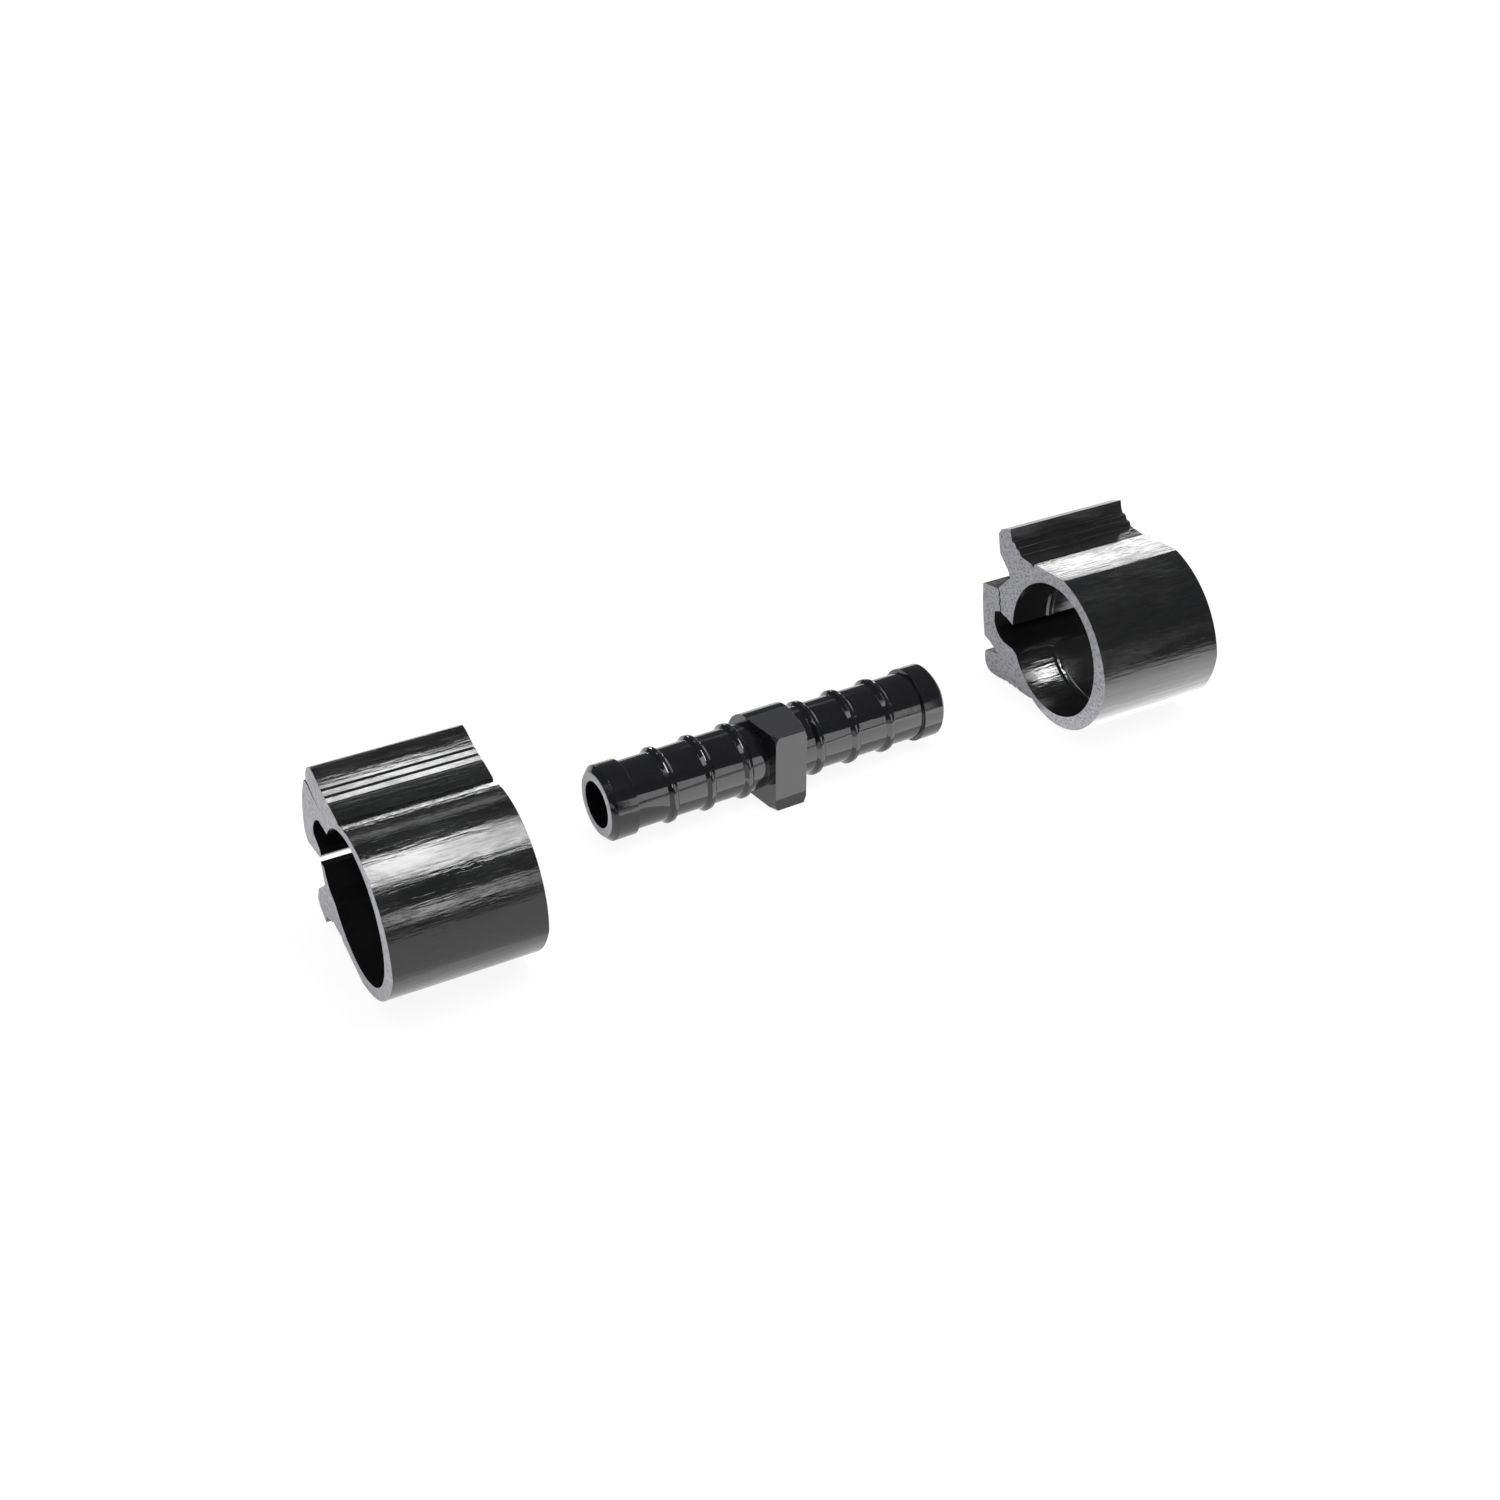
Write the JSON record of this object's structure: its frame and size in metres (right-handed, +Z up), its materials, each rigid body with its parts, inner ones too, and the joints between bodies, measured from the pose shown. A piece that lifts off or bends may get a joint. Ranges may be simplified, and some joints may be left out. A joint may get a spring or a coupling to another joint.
{
  "type": "pex coupling",
  "caption": "Straight plastic insert coupling with ribbed ends and wrench flats, with its snap clamps laid beside it, joins flexible water tubing.",
  "frame": {"origin": "centre of the coupling's bore, half way between its ends", "axes": "+X along the bore, towards the latched clamp; -Y towards the flat front of the wrench block; +Z up, square to its top flat"},
  "size_m": [0.1555, 0.0459, 0.0303],
  "materials": {
    "gloss_black_plastic": "gloss moulded black",
    "black_filled_nylon": "semi-gloss black, fibre filled, paler on the cut ends"
  },
  "bodies": {
    "root": {"coupling": "gloss_black_plastic", "clamp_latched": "black_filled_nylon", "clamp_open": "black_filled_nylon"}
  },
  "joints": []
}
